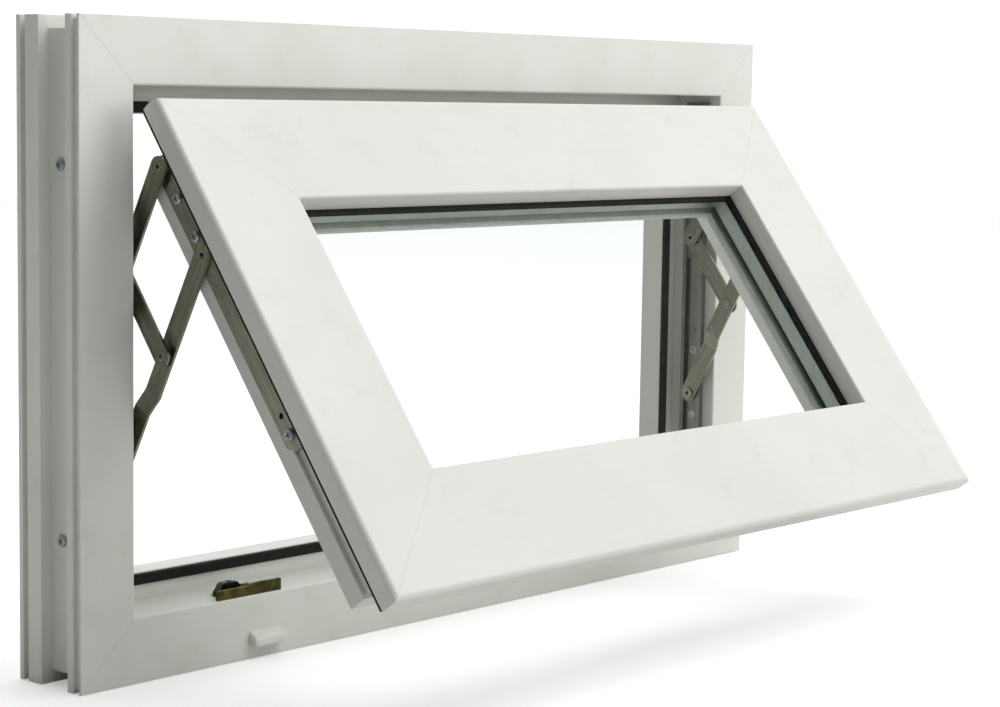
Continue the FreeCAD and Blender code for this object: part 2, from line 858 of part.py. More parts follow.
def track_screws():
    """Countersunk screws that hold both tracks."""
    pieces = []
    for sign in (LEFT, RIGHT):
        for height in track_screw_heights():
            flush = screw(track_screw_head_r, track_screw_length, True)
            seat = sign * (rebate_half_width - track_sheet)
            pieces.append(aimed(flush, (-sign, 0, 0), (seat, pivot_depth, height)))
    return group(pieces)


def fixed_rivet():
    """The rivet of the long arm's fixed pivot in the track."""
    high = layer_strut + long_arm_sheet
    solid = rivet(0.0, high + rivet_hole_gap, track_sheet, layer_strut - rivet_hole_gap, 0.0,
                  rivet_head_height)
    return at_pivot(solid, OPEN["fixed"])


def long_arm():
    """The long arm: low at the fixed pivot, joggled clear of the strut and top arm above."""
    half = 0.5 * arm_width
    low_end = bar(joggle_start, arm_width, layer_strut, layer_strut + long_arm_sheet)
    low_end = low_end.cut(box(0.0, stack_height, -half, half, joggle_start, joggle_start + arm_width))
    top = joggle_start + joggle_length
    upper = bar(long_arm_length - top, arm_width, layer_long_arm, layer_long_arm + long_arm_sheet)
    upper.translate(Z_AXIS * top)
    upper = upper.cut(box(0.0, stack_height, -half, half, joggle_start - half, top))
    slope = Part.Face(Part.makePolygon([
        FreeCAD.Vector(layer_strut, -half, joggle_start),
        FreeCAD.Vector(layer_strut + long_arm_sheet, -half, joggle_start),
        FreeCAD.Vector(layer_long_arm + long_arm_sheet, -half, top),
        FreeCAD.Vector(layer_long_arm, -half, top),
        FreeCAD.Vector(layer_strut, -half, joggle_start),
    ])).extrude(Y_AXIS * arm_width)
    solid = low_end.fuse([slope, upper]).removeSplitter()
    upper_face = layer_long_arm + long_arm_sheet
    solid = pressed(solid, long_arm_lower, long_arm_length, layer_long_arm, upper_face)
    solid = pivot_hole(solid, 0.0, layer_strut, layer_long_arm)
    solid = solid.cut(cylinder(rivet_r, (0, 0, long_arm_lower), X_AXIS, stack_height))
    solid = pivot_hole(solid, long_arm_length, layer_long_arm, layer_sash_arm)
    return lean(solid, arm_angle, OPEN["fixed"])


def middle_rivet():
    """The rivet in the long arm that carries the strut."""
    low = layer_strut - rivet_hole_gap
    solid = rivet(low, layer_long_arm + long_arm_sheet, layer_strut + sheet + rivet_hole_gap,
                  layer_long_arm, 0.0, 0.0)
    return at_pivot(solid, OPEN["middle"])


def strut():
    """The strut from the long arm's middle pivot up to the shoe."""
    solid = bar(strut_length, arm_width, layer_strut, layer_strut + sheet)
    solid = pressed(solid, 0.0, strut_length, layer_strut, layer_strut + sheet)
    for end in (0.0, strut_length):
        solid = pivot_hole(solid, end, layer_strut, layer_strut + sheet)
    return lean(solid, -opening_angle, OPEN["middle"])


def top_arm():
    """The short arm from the shoe to the top of the sash arm."""
    high = layer_top_arm + sheet
    solid = bar(top_arm_length, arm_width, layer_top_arm, high)
    solid = pressed(solid, 0.0, top_arm_length, layer_top_arm, high)
    for end in (0.0, top_arm_length):
        solid = pivot_hole(solid, end, layer_top_arm, high)
    return lean(solid, arm_angle, OPEN["shoe"])


def shoe():
    """The friction shoe: a block in the track with a neck through its slot."""
    half = 0.5 * track_width - track_sheet - shoe_side_gap
    low = track_sheet + shoe_face_gap
    high = track_height - track_sheet - shoe_face_gap
    block = box(low, high, -half, half, -0.5 * shoe_length, 0.5 * shoe_length)
    neck = box(low, track_height, -0.5 * shoe_neck_width, 0.5 * shoe_neck_width,
               -0.5 * shoe_neck_length, 0.5 * shoe_neck_length)
    solid = block.fuse(neck).removeSplitter()
    solid = solid.cut(cylinder(rivet_r, (0, 0, 0), X_AXIS, stack_height))
    return at_pivot(solid, OPEN["shoe"])


def shoe_rivet():
    """The rivet in the shoe that carries the strut and the top arm, flush on top."""
    low = track_sheet + shoe_face_gap
    solid = rivet(low, layer_top_arm + sheet, 0.0, 0.0, 0.0, 0.0)
    return at_pivot(solid, OPEN["shoe"])


def sash_arm():
    """The bar on the sash stile: two pivots, its screws' holes and a cut lower corner."""
    length = sash_arm_length
    high = stack_height
    solid = box(layer_sash_arm, high, -0.5 * sash_arm_width, 0.5 * sash_arm_width, -length, 0.0)
    solid = solid.fuse(cylinder(0.5 * sash_arm_width, (layer_sash_arm, 0, 0), X_AXIS, sash_arm_sheet))
    solid = solid.removeSplitter()
    foot = [e for e in solid.Edges if e.BoundBox.ZMax < through_cut - length
            and e.BoundBox.YLength < edge_break]
    solid = solid.makeChamfer(sash_arm_chamfer, foot[:1])
    for z in (0.0, -strut_length):
        solid = solid.cut(cylinder(rivet_r, (0, 0, z), X_AXIS, 2.0 * high))
    for offset in (*sash_screw_offsets, sash_spare_hole_offset):
        hole = cylinder(screw_hole_r, (0, 0, sash_arm_top - offset), X_AXIS, 2.0 * high)
        solid = solid.cut(hole)
    solid.translate(FreeCAD.Vector(0, *CLOSED["top"]))
    return sash_at_rest(layer(solid))


def sash_arm_rivets():
    """The rivets in the sash arms: the top arms' and the long arms'."""
    top_low = layer_top_arm - rivet_hole_gap
    collar_low = layer_top_arm + sheet + rivet_hole_gap
    top = rivet(top_low, stack_height, collar_low, layer_sash_arm, 0.0, 0.0)
    lower = rivet(layer_long_arm - rivet_hole_gap, stack_height, 0.0, 0.0, 0.0, 0.0)
    left = [at_pivot(top, OPEN["top"]), at_pivot(lower, OPEN["lower"])]
    return group(left + [mirrored(piece) for piece in left])


def sash_arm_screws():
    """Pan-head screws through the sash arms into the stiles."""
    pieces = []
    for sign in (LEFT, RIGHT):
        for height in sash_screw_heights():
            pan = screw(screw_head_r, sash_screw_length, False)
            seat = sign * (rebate_half_width - layer_sash_arm)
            pieces.append(sash_at_rest(aimed(pan, (sign, 0, 0), (seat, pivot_depth, height))))
    return group(pieces)


# ---------------------------------------------------------------- lock and handle
handle_seat = sash_front + sash_depth




def tooth(root):
    """A straight-sided tooth that stands up Z from its root, centred on x = 0."""
    half_root = 0.5 * tooth_root_width
    half_tip = 0.5 * tooth_tip_width
    corners = [(-half_root, root - web), (half_root, root - web), (half_root, root),
               (half_tip, root + tooth_height), (-half_tip, root + tooth_height), (-half_root, root)]
    front = pivot_depth - 0.5 * pinion_thickness
    points = [FreeCAD.Vector(x, front, z) for x, z in corners]
    return Part.Face(Part.makePolygon(points + points[:1])).extrude(Y_AXIS * pinion_thickness)


def pinion():
    """The gearbox's pinion: its teeth drive the lock bar's rack."""
    half = 0.5 * pinion_thickness
    centre = FreeCAD.Vector(0, 0, 0)
    wheel = cylinder(pinion_root_r, (0, pivot_depth - half, 0), Y_AXIS, pinion_thickness)
    teeth = []
    for index in range(pinion_teeth):
        one = tooth(pinion_root_r)
        one.rotate(centre, Y_AXIS, (index + 0.5) * 360.0 / pinion_teeth)
        teeth.append(one)
    solid = wheel.fuse(teeth)
    side = 0.5 * spindle_side + spindle_gap
    reach = half + through_cut
    solid = solid.cut(box(-side, side, pivot_depth - reach, pivot_depth + reach, -side, side))
    solid.translate(Z_AXIS * spindle_height)
    return sash_at_rest(solid.removeSplitter())


def lock_bar():
    """The sliding bar in the sash's groove, with its rack and its two locking cams."""
    half_width = 0.5 * sash_groove_width - lock_bar_gap
    solid = box(-lock_bar_half_length, lock_bar_half_length, pivot_depth - half_width,
                pivot_depth + half_width, bar_low, bar_high)
    half_rack = 0.5 * rack_teeth * tooth_pitch
    half_block = 0.5 * pinion_thickness
    start = -half_rack - 0.5 * lock_travel
    block = box(start, start + 2.0 * half_rack, pivot_depth - half_block, pivot_depth + half_block,
                bar_high, rack_root)
    pieces = [block]
    for index in range(rack_teeth):
        one = tooth(rack_root)
        one.translate(X_AXIS * (start + (index + 0.5) * tooth_pitch))
        pieces.append(one)
    for place in cam_positions:
        pieces.append(cylinder(cam_r, (place, pivot_depth, body_underside - cam_length), Z_AXIS,
                               cam_length + lock_bar_gap))
    solid = solid.fuse(pieces).removeSplitter()
    for place in faceplate_screw_positions:
        slot_half = screw_shank_r + cam_slot_gap
        solid = solid.cut(box(place - lock_travel - slot_half, place + slot_half, pivot_depth - slot_half,
                              pivot_depth + slot_half, bar_low - through_cut, bar_high + through_cut))
    return sash_at_rest(solid)


def lock_faceplate():
    """The strip over the groove, slotted for the cams' travel."""
    half = 0.5 * faceplate_width
    solid = box(-faceplate_half_length, faceplate_half_length, pivot_depth - half, pivot_depth + half,
                body_underside - faceplate_sheet, body_underside)
    slot_half = cam_r + cam_slot_gap
    for place in cam_positions:
        solid = solid.cut(box(place - slot_half, place + lock_travel + slot_half, pivot_depth - slot_half,
                              pivot_depth + slot_half, body_underside - faceplate_sheet - through_cut,
                              body_underside + through_cut))
    for hole in lock_screw_holes():
        solid = solid.cut(hole)
    return sash_at_rest(solid)


def lock_screw_holes():
    """The holes of the faceplate's screws, which pass the sliding bar's slots."""
    holes = []
    for place in faceplate_screw_positions:
        start = (place, pivot_depth, body_underside - faceplate_sheet - through_cut)
        holes.append(cylinder(screw_hole_r, start, Z_AXIS, faceplate_screw_length + 2.0 * through_cut))
    return holes


def faceplate_screws():
    """Screws that hold the faceplate to the bottom rail."""
    pieces = []
    for place in faceplate_screw_positions:
        pan = screw(screw_head_r, faceplate_screw_length, False)
        seat = (place, pivot_depth, body_underside - faceplate_sheet)
        pieces.append(sash_at_rest(aimed(pan, (0, 0, -1), seat)))
    return group(pieces)


def handle_holes():
    """The holes through the rail's inside wall for the spindle and the rose's screws."""
    length = handle_seat - pivot_depth + through_cut
    holes = [cylinder(spindle_side, (0, pivot_depth, spindle_height), Y_AXIS, length)]
    start = handle_seat + handle_base_depth - handle_screw_length
    for side in (LEFT, RIGHT):
        place = (side * handle_screw_half_spacing, start, spindle_height)
        holes.append(cylinder(screw_hole_r, place, Y_AXIS, handle_screw_length))
    return holes


def gearbox():
    """The lock's gearbox case, open below for the rack."""
    low = body_underside + sash_groove_depth
    high = gearbox_top
    half_depth = 0.5 * gearbox_depth
    outer = box(-gearbox_half_length, gearbox_half_length, pivot_depth - half_depth,
                pivot_depth + half_depth, low, high)
    inner_depth = half_depth - gearbox_wall
    inner_half = gearbox_half_length - gearbox_wall
    cavity = box(-inner_half, inner_half, pivot_depth - inner_depth, pivot_depth + inner_depth,
                 low - through_cut, high - gearbox_wall)
    bore = cylinder(0.8 * spindle_side, (0, pivot_depth - gearbox_depth, spindle_height), Y_AXIS,
                    2.0 * gearbox_depth)
    return sash_at_rest(outer.cut(cavity).cut(bore))


def spindle():
    """The square spindle from the pinion to the lever."""
    half = 0.5 * spindle_side
    start = pivot_depth - 0.5 * pinion_thickness
    end = handle_seat + handle_base_depth + handle_neck_length
    return sash_at_rest(box(-half, half, start, end, spindle_height - half, spindle_height + half))


def handle_base():
    """The handle's rose on the inside of the bottom rail."""
    half_length = 0.5 * handle_base_length
    half_width = 0.5 * handle_base_width
    solid = box(-half_length, half_length, handle_seat, handle_seat + handle_base_depth,
                spindle_height - half_width, spindle_height + half_width)
    upright = [e for e in solid.Edges if e.BoundBox.YLength > 0.9 * handle_base_depth]
    solid = solid.makeFillet(handle_base_r, upright)
    bore_r = handle_neck_r + hub_gap
    bore = cylinder(bore_r, (0, handle_seat - through_cut, spindle_height), Y_AXIS,
                    handle_base_depth + 2.0 * through_cut)
    solid = solid.cut(bore)
    for side in (LEFT, RIGHT):
        place = (side * handle_screw_half_spacing, handle_seat - through_cut, spindle_height)
        solid = solid.cut(cylinder(screw_hole_r, place, Y_AXIS, handle_base_depth + 2.0 * through_cut))
    return sash_at_rest(solid)


def handle_lever():
    """The lever on its neck, lying along the rail when locked."""
    low = handle_seat + hub_gap
    neck_end = handle_seat + handle_base_depth + handle_neck_length
    neck = cylinder(handle_neck_r, (0, low, spindle_height), Y_AXIS, neck_end - low)
    half = 0.5 * lever_width
    arm = box(-half, lever_length - half, neck_end - edge_break, neck_end + lever_depth,
              spindle_height - half, spindle_height + half)
    arm = arm.makeFillet(lever_edge_r, arm.Edges)
    solid = neck.fuse(arm).removeSplitter()
    side = 0.5 * spindle_side
    solid = solid.cut(box(-side, side, handle_seat - through_cut, neck_end,
                          spindle_height - side, spindle_height + side))
    return sash_at_rest(solid)


def handle_screws():
    """The two screws of the handle's rose."""
    pieces = []
    for side in (LEFT, RIGHT):
        pan = screw(screw_head_r, handle_screw_length, False)
        place = (side * handle_screw_half_spacing, handle_seat + handle_base_depth, spindle_height)
        pieces.append(sash_at_rest(aimed(pan, (0, 1, 0), place)))
    return group(pieces)


def keep_starts():
    """The left ends of the two keeps, each with a cam behind its lip."""
    return [place - keep_cam_lead for place in cam_positions]


def keep_screw_points():
    """The (x, y) places of the keeps' screws."""
    y = keep_front + keep_depth - keep_screw_back
    points = []
    for start in keep_starts():
        points.append((start + keep_screw_offset, y))
        points.append((start + keep_length - keep_screw_offset, y))
    return points


def keep_wall_piece(start, end, height, rounded):
    """A length of a keep's front wall with its top corners rounded at the named ends."""
    wall = box(start, end, keep_front, keep_front + keep_wall, frame_face, frame_face + height)
    corners = [e for e in wall.Edges if e.BoundBox.ZMin > frame_face + keep_sheet
               and min(abs(e.BoundBox.XMin - place) + e.BoundBox.XLength for place in rounded) < edge_break]
    return wall.makeFillet(small_edge_r, corners)


def keep(start):
    """A keep on the sill: a base with a front wall and a lip in front of the locked cam."""
    end = start + keep_length
    base = box(start + keep_base_inset, end - keep_base_inset, keep_front, keep_front + keep_depth,
               frame_face, frame_face + keep_sheet)
    wall = keep_wall_piece(start, end, keep_wall_height, (start,))
    tall = keep_wall_piece(end - keep_end_length, end, keep_end_height, (end - keep_end_length, end))
    lip_back = pivot_depth - cam_r - keep_lip_gap
    lip_start = start + keep_lip_start
    lip = box(lip_start, lip_start + keep_lip_length, lip_back - keep_lip_depth, lip_back, frame_face,
              frame_face + keep_lip_height)
    solid = base.fuse([wall, tall, lip]).removeSplitter()
    for x, y in keep_screw_points():
        solid = solid.cut(cylinder(screw_hole_r, (x, y, frame_face - through_cut), Z_AXIS, keep_lip_height))
    return solid


def keep_screws():
    """The screws of both keeps."""
    pieces = []
    for x, y in keep_screw_points():
        pan = screw(screw_head_r, keep_screw_length, False)
        pieces.append(aimed(pan, (0, 0, 1), (x, y, frame_face + keep_sheet)))
    return group(pieces)


# ---------------------------------------------------------------- all nodes
def build():
    """Write every node of the window."""
    os.makedirs("parts", exist_ok=True)
    names = {"bottom": "sill", "top": "head", "left": "left_jamb", "right": "right_jamb"}
    sash_names = {"bottom": "bottom_rail", "top": "top_rail", "left": "left_stile", "right": "right_stile"}
    for side in SIDES:
        save("frame_" + names[side], frame_member(side))
        save("sash_" + sash_names[side], sash_at_rest(sash_member(side)))
        save("glazing_bead_" + side, sash_at_rest(glazing_bead(side)))
    save("frame_reinforcement", frame_steel())
    save("frame_seal", frame_seal())
    save("jamb_screws", jamb_screws())
    save("drain_cap", drain_cap())
    save("sash_reinforcement", sash_at_rest(sash_steel()))
    save("flange_seal", sash_at_rest(flange_seal()))
    save("outer_pane", sash_at_rest(pane(unit_front)))
    save("inner_pane", sash_at_rest(pane(unit_back - pane_thickness)))
    save("spacer_bar", sash_at_rest(spacer_bar()))
    save("edge_sealant", sash_at_rest(edge_sealant()))
    save("outer_glazing_gasket", sash_at_rest(glazing_gasket(reveal_depth, outer_gasket_sight)))
    save("inner_glazing_gasket", sash_at_rest(glazing_gasket(unit_back, inner_gasket_sight)))
    save("glazing_packers", sash_at_rest(glazing_packers()))
    stay = {
        "stay_track": stay_track(),
        "stay_end_cap": end_cap(),
        "fixed_pivot_rivet": fixed_rivet(),
        "long_arm": long_arm(),
        "middle_pivot_rivet": middle_rivet(),
        "strut": strut(),
        "top_arm": top_arm(),
        "friction_shoe": shoe(),
        "shoe_rivet": shoe_rivet(),
        "sash_arm": sash_arm(),
    }
    for name, piece in stay.items():
        save("left_" + name, piece)
        save("right_" + name, mirrored(piece))
    save("track_screws", track_screws())
    save("sash_arm_rivets", sash_arm_rivets())
    save("sash_arm_screws", sash_arm_screws())
    save("lock_gearbox", gearbox())
    save("lock_pinion", pinion())
    save("lock_bar", lock_bar())
    save("lock_faceplate", lock_faceplate())
    save("lock_faceplate_screws", faceplate_screws())
    save("handle_spindle", spindle())
    save("handle_base", handle_base())
    save("handle_lever", handle_lever())
    save("handle_screws", handle_screws())
    for name, start in zip(("left_keep", "right_keep"), keep_starts()):
        save(name, keep(start))
    save("keep_screws", keep_screws())


build()
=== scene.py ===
from math import cos, radians, sin

import bpy
from mathutils import Matrix, Vector


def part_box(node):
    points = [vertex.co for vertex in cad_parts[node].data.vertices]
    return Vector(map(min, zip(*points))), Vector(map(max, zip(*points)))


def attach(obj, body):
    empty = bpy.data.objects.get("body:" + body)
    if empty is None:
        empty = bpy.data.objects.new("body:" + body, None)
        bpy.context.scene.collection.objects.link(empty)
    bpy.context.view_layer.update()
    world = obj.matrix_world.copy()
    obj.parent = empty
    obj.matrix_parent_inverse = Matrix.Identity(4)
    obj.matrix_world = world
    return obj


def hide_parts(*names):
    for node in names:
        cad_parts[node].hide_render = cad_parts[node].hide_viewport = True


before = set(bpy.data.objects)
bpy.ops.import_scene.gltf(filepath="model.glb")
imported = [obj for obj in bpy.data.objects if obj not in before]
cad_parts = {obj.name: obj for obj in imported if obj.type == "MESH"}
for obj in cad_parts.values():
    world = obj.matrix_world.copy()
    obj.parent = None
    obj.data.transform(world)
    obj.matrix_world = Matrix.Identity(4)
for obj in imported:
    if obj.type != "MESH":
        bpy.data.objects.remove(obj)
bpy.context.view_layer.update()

MM = 0.001

# ------------------------------------------------------------------ where things are
# The sash stands open at rest. Its face's top edge lies at hinge_edge, given as Y and Z.
frame_low, frame_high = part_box("frame_sill")
half_frame = frame_high[0]
head_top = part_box("frame_head")[1][2]
half_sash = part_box("sash_bottom_rail")[1][0]
sash_height = 357.6 * MM
sash_angle = radians(37.0)
hinge_edge = (-29.358 * MM, 380.295 * MM)
long_arm_lean = radians(27.611)


# ------------------------------------------------------------------ shader arithmetic
class Reading:
    """A value that varies over a surface. Arithmetic on it adds Math nodes."""

    def __init__(self, finish, socket):
        self.finish = finish
        self.socket = socket

    def math(self, operation, *values):
        inputs = dict(enumerate(values))
        return self.finish.node("ShaderNodeMath", {"operation": operation}, inputs)

    def __add__(self, other):
        return self.math("ADD", self, other)

    def __radd__(self, other):
        return self.math("ADD", other, self)

    def __sub__(self, other):
        return self.math("SUBTRACT", self, other)

    def __rsub__(self, other):
        return self.math("SUBTRACT", other, self)

    def __mul__(self, other):
        return self.math("MULTIPLY", self, other)

    def __abs__(self):
        return self.math("ABSOLUTE", self)

    def __pow__(self, other):
        return self.math("POWER", self, other)

    def least(self, other):
        return self.math("MINIMUM", self, other)

    def most(self, other):
        return self.math("MAXIMUM", self, other)

    def below(self, edge, soft):
        """1 where the value is under the edge, 0 above it, with a soft step between."""
        settings = {"interpolation_type": "SMOOTHSTEP"}
        inputs = {"Value": self, "From Min": edge - soft, "From Max": edge + soft,
                  "To Min": 1.0, "To Max": 0.0}
        return self.finish.node("ShaderNodeMapRange", settings, inputs)

    def spread(self, low, high, to_low=0.0, to_high=1.0):
        """The value's range from low to high, mapped to another range."""
        inputs = {"Value": self, "From Min": low, "From Max": high, "To Min": to_low, "To Max": to_high}
        return self.finish.node("ShaderNodeMapRange", {"interpolation_type": "SMOOTHSTEP"}, inputs)


class Finish:
    """One procedural material on Object coordinates."""

    def __init__(self, name, **flat):
        self.material = bpy.data.materials.new(name)
        self.material.use_nodes = True
        self.tree = self.material.node_tree
        self.surface = self.tree.nodes["Principled BSDF"]
        for key, value in flat.items():
            self.surface.inputs[key.replace("_", " ")].default_value = value
        coordinates = self.tree.nodes.new("ShaderNodeTexCoord")
        self.place = Reading(self, coordinates.outputs["Object"])

    def node(self, kind, settings, inputs, output=0):
        """Any node: its settings first, then the values or links of its inputs."""
        made = self.tree.nodes.new(kind)
        for key, value in settings.items():
            setattr(made, key, value)
        for key, value in inputs.items():
            if isinstance(value, Reading):
                self.tree.links.new(value.socket, made.inputs[key])
            else:
                made.inputs[key].default_value = value
        return Reading(self, made.outputs[output])

    def axes(self):
        """Object coordinates as three readings: X, Y and Z."""
        separate = self.tree.nodes.new("ShaderNodeSeparateXYZ")
        self.tree.links.new(self.place.socket, separate.inputs[0])
        return [Reading(self, output) for output in separate.outputs]

    def vector(self, x, y, z):
        """Three readings as one vector."""
        return self.node("ShaderNodeCombineXYZ", {}, {0: x, 1: y, 2: z})

    def turned(self, tilt):
        """Object coordinates turned about X."""
        return self.node("ShaderNodeMapping", {}, {"Vector": self.place, "Rotation": (tilt, 0.0, 0.0)})

    def stretched(self, place, sizes):
        """Coordinates counted in grains of the given size along each axis, in metres."""
        scale = tuple(1.0 / size for size in sizes)
        settings = {"operation": "MULTIPLY"}
        return self.node("ShaderNodeVectorMath", settings, {0: place, 1: scale})

    def noise(self, sizes, detail=3.0, rough=0.55, place=None):
        """Noise whose grain has the given size along each axis."""
        vector = self.stretched(place or self.place, sizes)
        inputs = {"Vector": vector, "Scale": 1.0, "Detail": detail, "Roughness": rough}
        return self.node("ShaderNodeTexNoise", {}, inputs)

    def cells(self, sizes, feature="F1", place=None):
        """Distances in a pattern of cells that have the given size along each axis."""
        vector = self.stretched(place or self.place, sizes)
        return self.node("ShaderNodeTexVoronoi", {"feature": feature}, {"Vector": vector, "Scale": 1.0})

    def blend(self, factor, first, second):
        """A colour between two colours."""
        settings = {"data_type": "RGBA", "blend_type": "MIX"}
        inputs = {0: factor}
        for key, colour in ((6, first), (7, second)):
            inputs[key] = colour if isinstance(colour, Reading) else (*colour, 1.0)
        return self.node("ShaderNodeMix", settings, inputs, output=2)

    def bump(self, height, strength, distance, under=None):
        """A normal from a height, on top of another bump where one is given."""
        inputs = {"Height": height, "Strength": strength, "Distance": distance}
        if under is not None:
            inputs["Normal"] = under
        return self.node("ShaderNodeBump", {}, inputs)

    def feed(self, **inputs):
        """Link readings to the surface's inputs, named with underscores for spaces."""
        for key, value in inputs.items():
            self.tree.links.new(value.socket, self.surface.inputs[key.replace("_", " ")])


def paint(finish, *nodes):
    """Give CAD nodes a finish."""
    for name in nodes:
        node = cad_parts[name]
        node.data.materials.clear()
        node.data.materials.append(finish.material)


# ------------------------------------------------------------------ finishes
def frame_coordinates(finish):
    """Distances from the frame's outer edges and its face: across the width, the height, back."""
    x, y, z = finish.axes()
    half_height = 0.5 * head_top
    return half_frame - abs(x), half_height - abs(z - half_height), y


def sash_coordinates(finish):
    """The same distances in the open sash."""
    x, y, z = finish.axes()
    away_y = y - hinge_edge[0]
    away_z = z - hinge_edge[1]
    down = 0.0 - away_y * sin(sash_angle) - away_z * cos(sash_angle)
    back = away_y * cos(sash_angle) - away_z * sin(sash_angle)
    half_height = 0.5 * sash_height
    return half_sash - abs(x), half_height - abs(down - half_height), back


def white_plastic(name, coordinates, white, shade, weld_reach, sheen):
    """Satin white PVC with extrusion lines, cleaned weld seams, smudges and settled dust."""
    finish = Finish(name, IOR=1.53, Coat_Roughness=0.25)
    side, rise, back = coordinates(finish)
    across = side.least(rise)
    along = side.most(rise)
    line_width, line_length = 0.7 * MM, 160.0 * MM
    lines = finish.noise((line_width, line_length, line_width), detail=2.0,
                         place=finish.vector(across, along, back))
    broad = finish.noise((110.0 * MM, 90.0 * MM, 110.0 * MM), detail=4.0)
    smudge = finish.noise((28.0 * MM, 30.0 * MM, 28.0 * MM), detail=5.0, rough=0.62)
    grain = finish.noise((0.9 * MM,) * 3)
    specks = finish.cells((9.0 * MM,) * 3).below(0.045, 0.02) * smudge.spread(0.5, 0.7)
    weld_end = across.below(weld_reach, 0.3 * MM)
    off_weld = abs(side - rise)
    seam = off_weld.below(0.45 * MM, 0.35 * MM) * weld_end
    cleaned = off_weld.below(2.6 * MM, 1.6 * MM) * weld_end
    colour = finish.blend(broad.spread(0.3, 0.7), white, shade)
    grime = tuple(part * factor for part, factor in zip(shade, (0.80, 0.79, 0.75)))
    colour = finish.blend(smudge.spread(0.52, 0.8, 0.0, 0.30), colour, grime)
    colour = finish.blend(lines.spread(0.35, 0.8, 0.0, 0.10), colour, grime)
    colour = finish.blend(specks * 0.35, colour, (0.36, 0.35, 0.31))
    colour = finish.blend(seam * 0.26, colour, (0.45, 0.45, 0.41))
    roughness = 0.34 + smudge.spread(0.3, 0.8, -0.05, 0.12) + lines * 0.05 + cleaned * 0.10
    relief = finish.bump(lines, 0.10, 0.08 * MM)
    relief = finish.bump(grain, 0.10, 0.05 * MM, relief)
    relief = finish.bump(1.0 - seam, 0.35, 0.18 * MM, relief)
    coat = broad.spread(0.3, 0.7, sheen, 0.3 * sheen)
    finish.feed(Base_Color=colour, Roughness=roughness, Normal=relief, Coat_Weight=coat)
    return finish


def rubber(name, tone, gloss):
    """Black extruded rubber with a dusty bloom and a fine matt grain."""
    finish = Finish(name, IOR=1.5, Specular_IOR_Level=0.22)
    bloom = finish.noise((18.0 * MM, 12.0 * MM, 12.0 * MM), detail=5.0, rough=0.65)
    grain = finish.noise((0.5 * MM,) * 3)
    dust = bloom.spread(0.5, 0.78)
    colour = finish.blend(dust * 0.5, tone, (0.040, 0.041, 0.038))
    colour = finish.blend(grain.spread(0.62, 0.8, 0.0, 0.5), colour, (0.020, 0.021, 0.020))
    roughness = gloss + dust * 0.25 + grain * 0.08
    relief = finish.bump(grain, 0.35, 0.10 * MM)
    finish.feed(Base_Color=colour, Roughness=roughness, Normal=relief)
    return finish


def brushed_steel(name, tilt, tone, dull, polish):
    """Stainless strip brushed along its length, with fingermarks, scratches and dull patches. The tone and
    dull colours are given by the caller; for the stays and the track they are darkened and warmed by painted
    reflection.
    """
    finish = Finish(name, Metallic=1.0)
    place = finish.turned(tilt)
    strokes = finish.noise((0.25 * MM, 0.25 * MM, 22.0 * MM), detail=4.0, rough=0.6, place=place)
    long_strokes = finish.noise((0.6 * MM, 0.6 * MM, 60.0 * MM), detail=2.0, place=place)
    marks = finish.noise((12.0 * MM, 12.0 * MM, 20.0 * MM), detail=5.0, rough=0.6, place=place)
    scratch_slant = 0.5
    scratch = finish.cells((3.0 * MM, 3.0 * MM, 26.0 * MM), "DISTANCE_TO_EDGE",
                           place=finish.turned(tilt + scratch_slant))
    scratches = scratch.below(0.02, 0.015) * marks.spread(0.5, 0.65)
    colour = finish.blend(strokes.spread(0.3, 0.7), tone, dull)
    colour = finish.blend(marks.spread(0.5, 0.8, 0.0, 0.55), colour, dull)
    brown = tuple(part * factor for part, factor in zip(dull, (0.62, 0.55, 0.44)))
    colour = finish.blend(marks.spread(0.62, 0.85, 0.0, 0.6), colour, brown)
    colour = finish.blend(scratches * 0.4, colour, (0.72, 0.71, 0.68))
    roughness = polish + strokes.spread(0.3, 0.7, -0.05, 0.10) + marks.spread(0.45, 0.8, 0.0, 0.16)
    relief = finish.bump(strokes, 0.30, 0.06 * MM)
    relief = finish.bump(long_strokes, 0.25, 0.08 * MM, relief)
    finish.feed(Base_Color=colour, Roughness=roughness, Normal=relief)
    return finish


def plated(name, tone, tarnish, polish, patch_size):
    """Plated or cast metal with tarnish in patches and bright rubbed spots."""
    finish = Finish(name, Metallic=1.0)
    patch = finish.noise((patch_size,) * 3, detail=5.0, rough=0.62)
    pits = finish.cells((0.7 * MM,) * 3)
    rub = finish.noise((2.4 * MM,) * 3)
    colour = finish.blend(patch.spread(0.35, 0.68), tone, tarnish)
    colour = finish.blend(pits.below(0.16, 0.08) * 0.5, colour, tuple(0.5 * part for part in tarnish))
    bright = tuple(min(1.0, 1.45 * part) for part in tone)
    colour = finish.blend(rub.spread(0.6, 0.78, 0.0, 0.45), colour, bright)
    roughness = polish + patch.spread(0.35, 0.7, 0.0, 0.2) - rub.spread(0.6, 0.78, 0.0, 0.08)
    relief = finish.bump(1.0 - pits.below(0.16, 0.10), 0.30, 0.06 * MM)
    relief = finish.bump(patch, 0.25, 0.15 * MM, relief)
    finish.feed(Base_Color=colour, Roughness=roughness, Normal=relief)
    return finish


def moulded(name, tone, shade, polish):
    """Moulded plastic or enamel with a faint orange peel."""
    finish = Finish(name, IOR=1.5)
    peel = finish.noise((1.6 * MM,) * 3, detail=2.0)
    patch = finish.noise((14.0 * MM,) * 3, detail=4.0, rough=0.6)
    colour = finish.blend(patch.spread(0.35, 0.75), tone, shade)
    roughness = polish + patch.spread(0.4, 0.8, 0.0, 0.14)
    relief = finish.bump(peel, 0.16, 0.12 * MM)
    finish.feed(Base_Color=colour, Roughness=roughness, Normal=relief)
    return finish


